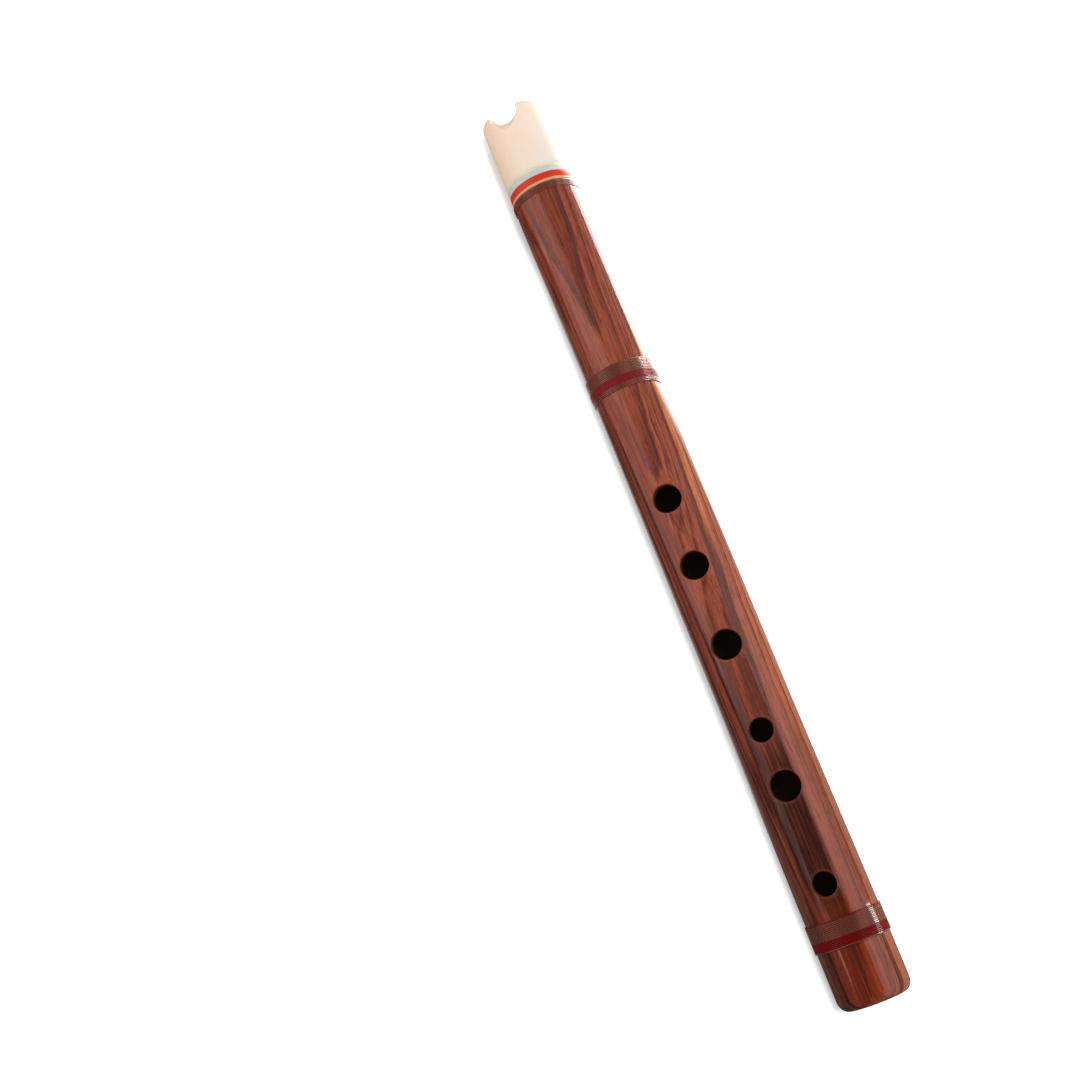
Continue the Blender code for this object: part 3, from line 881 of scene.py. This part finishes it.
def makeRings():
    # each ring fills the space to its neighbour, with a barely broken edge
    names = list(ringLooks)
    starts = [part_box(name)[0][0] - rimAt for name in names] + [tube["shoulder"]]
    starts[0] = mouth["length"]
    broken, columns = ringShape["broken"], ringShape["columns"]
    bend = 0.3 * broken  # the middle of a broken edge
    angles = np.arange(columns) * wholeTurn / columns
    for name, start, end in zip(names, starts, starts[1:]):
        start, end = start + ringShape["gap"], end - ringShape["gap"]
        profile = np.array([
            (tubeRadius - broken, start), (tubeRadius - bend, start + bend), (tubeRadius, start + broken),
            (tubeRadius, (start + end) / 2),
            (tubeRadius, end - broken), (tubeRadius - bend, end - bend), (tubeRadius - broken, end),
            (socketRadius, end), (socketRadius, start),
        ])
        points = pointAt(profile[:, 1, None], profile[:, 0, None], angles[None, :])
        looks = ringLooks[name]
        addPiece(name.replace("_ring", "_inlay"), points, gridFaces(len(profile), columns),
                 ringMaterial(name, looks), looks["slot"], [name])
    print("rings: %d" % len(names))


# Bindings
binding = {
    "pointsPerTurn": 72,
    "sides": 12,
    "splice": 120.0,  # where each winding starts and ends, in degrees from the finger holes
    "threadRadius": 0.485,  # as a share of the pitch
    "endGap": 0.004,  # turns left to round off each end
    "endStep": 0.001,  # turns between the rows of that rounding
    "sinkTurns": 0.03,  # an end sinks by a share of the thread's radius over these turns
    "sinkDepth": 0.3,
    "bite": 0.00002,
}
# name, station of the thread's middle where it starts, turns, pitch, material, the node it stands for
windings = [
    ("top_winding_nylon", 0.03900, 6, 0.00045, "nylon", "top_binding_nylon"),
    ("middle_winding_upper_nylon", 0.12228, 8, 0.00067, "nylon", "middle_binding_upper_nylon"),
    ("middle_winding_red", 0.12764, 5, 0.00067, "red", "middle_binding_red_thread"),
    ("middle_winding_lower_nylon", 0.13099, 3, 0.00067, "nylon", "middle_binding_lower_nylon"),
    ("lower_winding_first_red", 0.35080, 1, 0.00067, "faintRed", "lower_binding_first_red_turn"),
    ("lower_winding_upper_nylon", 0.35147, 9, 0.00067, "nylon", "lower_binding_upper_nylon"),
    ("lower_winding_red", 0.35750, 5, 0.00067, "red", "lower_binding_red_thread"),
    ("lower_winding_lower_nylon", 0.36085, 1, 0.00067, "nylon", "lower_binding_lower_nylon"),
]


def threadSurface(first, turns, pitch):
    # a round thread along a helix: the station grows by one pitch each turn. Its ends are rounded and sink a
    # little, and the next winding starts where this one ends.
    radius, gap = pitch * binding["threadRadius"], binding["endGap"]
    turn = np.linspace(gap, turns - gap, turns * binding["pointsPerTurn"])
    endRows = binding["endStep"] * np.arange(1, 4)
    turn = np.concatenate([turn[:1] - endRows[::-1], turn, turn[-1:] + endRows])
    angle = math.radians(binding["splice"]) + turn * wholeTurn
    station = first + turn * pitch
    toEnd = np.minimum(turn, turns - turn)
    sunk = 1 - np.clip(toEnd / binding["sinkTurns"], 0, 1)
    centre = outerRadius(station) + radius * (1 - binding["sinkDepth"] * sunk) - binding["bite"]
    full = np.clip((toEnd - endRows[0]) / endRows[-1], 0, 1)
    swell = radius * np.sqrt(1 - (1 - full) ** 2)
    around = -np.arange(binding["sides"]) * wholeTurn / binding["sides"]
    grid = pointAt(
        station[:, None] + swell[:, None] * np.sin(around),
        centre[:, None] + swell[:, None] * np.cos(around),
        angle[:, None])
    return grid.reshape(-1, 3), gridFaces(len(turn), binding["sides"], closeRows=False)


def makeBindings():
    looks = {
        "nylon": (nylonMaterial(), "clear_nylon"),
        "red": (redThreadMaterial(), "red_thread"),
        "faintRed": (redThreadMaterial(faint=True), "red_thread"),
    }
    for name, first, turns, pitch, kind, node in windings:
        points, faces = threadSurface(first, turns, pitch)
        addPiece(name, points, faces, *looks[kind], [node])
    print("windings: %d" % len(windings))


# Camera, light and floor
view = {
    "place": (0.13244, 0.06767, 0.62942),
    "turn": (8.589, 15.468, 68.576),  # degrees
    "lens": 52.977,
    "sensor": 36.0,
}
# soft boxes: the middle, the point that it faces, width and height, and its brightness where white is 1
softBoxes = {
    "right box": {"place": (-0.15, 0.50, 0.50), "faces": (-0.1, 0, 0), "size": (0.6, 0.6), "bright": 2.3},
    "left box": {"place": (-0.15, -0.55, 0.45), "faces": (-0.1, 0, 0), "size": (0.5, 0.5), "bright": 2.05},
}


def strip(ends, lowEdge, highEdge):  # corners between two edges along X, each at its own Y and Z
    return [(ends[0], *lowEdge), (ends[1], *lowEdge), (ends[1], *highEdge), (ends[0], *highEdge)]


# Cards that only the varnish mirrors: corners in turn, and brightness at two places along X. A card with a soft
# edge fades out over that width.
cards = {
    "left card": {
        "corners": [
            (-1.2, -0.80, 0.182), (-0.21, -0.80, 0.182), (0.0, -0.654, 0.374), (0.22, -0.55, 0.445),
            (0.22, -0.48, 0.53), (0.08, -0.40, 0.64), (-0.06, -0.343, 0.715), (-0.25, -0.197, 0.908),
            (-1.2, -0.197, 0.908)],
        "fade": (-0.15, 0.22), "bright": (0.95, 0.45)},
    "foot glint": {
        "corners": strip((0.208, 0.236), (-0.511, 0.477), (-0.462, 0.541)),
        "fade": (0.208, 0.236), "bright": (2.6, 1.6)},
    "glint above the lower binding": {
        "corners": strip((0.176, 0.188), (-0.416, 0.565), (-0.367, 0.600)),
        "fade": (0.176, 0.188), "bright": (0.6, 2.2)},
    "middle glint": {
        "corners": strip((-0.0745, -0.0625), (0.024, 0.0150), (0.024, 0.0272)),
        "fade": (-0.0745, -0.0625), "bright": (26.0, 26.0), "softEdge": 0.0035},
    "lower glint": {
        "corners": strip((0.158, 0.171), (0.024, 0.0180), (0.024, 0.0254)),
        "fade": (0.158, 0.171), "bright": (26.0, 26.0), "softEdge": 0.0024},
    "right card": {
        "corners": [
            (-0.22, 0.6, 0.0), (-0.22, 0.6, 0.80), (0.0, 0.6, 0.85), (0.5, 0.6, 0.90), (1.6, 0.6, 0.90),
            (1.6, 0.6, 0.0)],
        "fade": (-0.22, -0.04), "bright": (0.1, 1.0)},
}
room = {"camera": 1.0, "mirrored": 0.05, "soft": 0.56}


def makeCamera():
    data = bpy.data.cameras.new("camera")
    data.lens, data.sensor_width, data.sensor_fit = view["lens"], view["sensor"], "HORIZONTAL"
    camera = bpy.data.objects.new("camera", data)
    bpy.context.scene.collection.objects.link(camera)
    camera.location = view["place"]
    camera.rotation_euler = [math.radians(part) for part in view["turn"]]
    bpy.context.scene.camera = camera


def makeLights():
    for name, box in softBoxes.items():
        data = bpy.data.lights.new(name, "AREA")
        data.shape, data.size, data.size_y = "RECTANGLE", *box["size"]
        data.energy = box["bright"] * math.pi * box["size"][0] * box["size"][1]
        lamp = bpy.data.objects.new(name, data)
        bpy.context.scene.collection.objects.link(lamp)
        lamp.location = box["place"]
        away = Vector(box["place"]) - Vector(box["faces"])
        lamp.rotation_euler = away.to_track_quat("Z", "Y").to_euler()
        lamp.visible_camera = lamp.visible_glossy = False  # the cards are what the varnish mirrors
    world = bpy.data.worlds.new("room")
    world.use_nodes = True
    world.cycles.sampling_method = "NONE"
    nodes, links = world.node_tree.nodes, world.node_tree.links
    path = nodes.new("ShaderNodeLightPath")
    mirrored = nodes.new("ShaderNodeMix")  # from soft to mirrored, then to what the camera sees
    mirrored.inputs[2].default_value, mirrored.inputs[3].default_value = room["soft"], room["mirrored"]
    seen = nodes.new("ShaderNodeMix")
    seen.inputs[3].default_value = room["camera"]
    links.new(path.outputs["Is Glossy Ray"], mirrored.inputs[0])
    links.new(path.outputs["Is Camera Ray"], seen.inputs[0])
    links.new(mirrored.outputs[0], seen.inputs[2])
    links.new(seen.outputs[0], nodes["Background"].inputs[1])
    nodes["Background"].inputs[0].default_value = (1, 1, 1, 1)
    bpy.context.scene.world = world
    print("lights: %d" % len(softBoxes))


def addFlat(name, corners, graph, surface, seen):
    # one flat face of the stage; where it isn't seen, only mirroring rays meet it
    graph.links.new(surface.socket, graph.nodes["Material Output"].inputs["Surface"])
    graph.material.cycles.emission_sampling = "NONE"
    mesh = bpy.data.meshes.new(name)
    mesh.from_pydata(corners, [], [tuple(range(len(corners)))])
    mesh.materials.append(graph.material)
    flat = bpy.data.objects.new(name, mesh)
    bpy.context.scene.collection.objects.link(flat)
    flat.visible_camera = flat.visible_diffuse = flat.visible_shadow = seen


def makeCards():
    for name, card in cards.items():
        graph = Graph(name)
        _, x, _, z = graph.place()
        strength = graph.slope(x, *card["fade"], *card["bright"])
        if "softEdge" in card:
            for across, axis in ((x, 0), (z, 2)):
                ends, soft = [corner[axis] for corner in card["corners"]], card["softEdge"]
                strength = strength * graph.smooth(across, min(ends), min(ends) + soft)
                strength = strength * graph.smooth(across, max(ends), max(ends) - soft)
        glow = graph.add("ShaderNodeEmission", {}, {"Strength": strength})
        addFlat(name, card["corners"], graph, glow, seen=False)
    print("cards: %d" % len(cards))


# White paper with a painted shadow of the flute along its left side, and the light that the varnish mirrors
# from it: white close to the left of the tube over its middle, dark beyond that, some before the head, and very
# bright beside the head on the right, up to a slanting edge, fading towards the first hole. A pair says where
# an edge starts and is full.
table = {
    "half": 3.0,
    "paper": ((0.86, 0.87, 0.88), (0.88, 0.89, 0.90)),
    "paperGlow": 0.85,  # only to the camera, and not where the painted shadow lies
    "paintedShadowEdge": (-0.0208, -0.0153),
    "paintedShadowWider": ((-0.120, -0.160, 0.0016), (0.100, 0.160, 0.0006)),  # and by how much, near both ends
    "paintedShadowEnds": ((-0.203, -0.197), (0.196, 0.190)),
    "underTube": (0.003, -0.003),
    "leftNear": (-0.042, -0.026),
    "leftMiddle": ((-0.165, -0.040), (0.140, 0.060)),
    "leftBright": 1.14,
    "leftDark": 0.08,
    "front": (-0.197, -0.204),
    "frontSide": (-0.060, -0.045),
    "frontBright": 0.4,
    "rightFrom": 0.012,
    "right": 0.32,
    "headGlow": 8.0,
    "headSlant": 2.44,
    "headEdge": (0.050, 0.024),
    "headFade": (-0.085, -0.040, 1.0, 0.13),
    "headStartSlant": 0.5,
    "headStart": (-0.088, -0.083),
}


def makeTable():
    graph = Graph("white table")
    coordinate, x, y, _ = graph.place()
    path = graph.nodes.new("ShaderNodeLightPath")
    camera, glossy = Sock(graph, path.outputs["Is Camera Ray"]), Sock(graph, path.outputs["Is Glossy Ray"])

    def between(value, ends):
        return graph.smooth(value, *ends[0]) * graph.smooth(value, *ends[1])

    # a painted shadow along the tube's left side, wider near both ends, holds back the paper's glow
    edge = y
    for start, full, wider in table["paintedShadowWider"]:
        edge = edge + graph.smooth(x, start, full) * wider
    paintedShadow = graph.smooth(edge, *table["paintedShadowEdge"]) * graph.smooth(y, *table["underTube"])
    paintedShadow = paintedShadow * between(x, table["paintedShadowEnds"])
    graph.finish(
        Base_Color=graph.mix(graph.noise(coordinate, 400.0, 2.0), *table["paper"]),
        Roughness=0.9,
        Specular_IOR_Level=0.0,
        Emission_Color=graph.mix(camera * (1.0 - paintedShadow), (0, 0, 0), (1, 1, 1)),
        Emission_Strength=table["paperGlow"],
    )
    near = graph.smooth(y, *table["leftNear"]) * between(x, table["leftMiddle"])
    left = near * (table["leftBright"] - table["leftDark"]) + table["leftDark"]
    front = graph.smooth(x, *table["front"]) * graph.smooth(y, *table["frontSide"])
    left = left + front * table["frontBright"]
    head = graph.smooth(x + y * table["headSlant"], *table["headEdge"]) * graph.slope(x, *table["headFade"])
    head = head * graph.smooth(y + x * table["headStartSlant"], *table["headStart"])
    right = head * table["headGlow"] + table["right"]
    glow = left + (y > table["rightFrom"]) * (right - left)
    mirrored = graph.add("ShaderNodeEmission", {}, {"Strength": glow})
    paper = Sock(graph, graph.shader.outputs[0])
    # light that has left a matt surface sees plain paper
    first = Sock(graph, path.outputs["Diffuse Depth"]) < 0.5
    both = graph.add("ShaderNodeMixShader", {}, {0: glossy * first, 1: paper, 2: mirrored})
    half = table["half"]
    addFlat("table", strip((-half, half), (-half, 0), (half, 0)), graph, both, seen=True)


makeTube()
makeMouthpiece()
makeRings()
makeBindings()
makeCamera()
makeLights()
makeTable()
makeCards()
bpy.context.scene.view_settings.view_transform = "Standard"
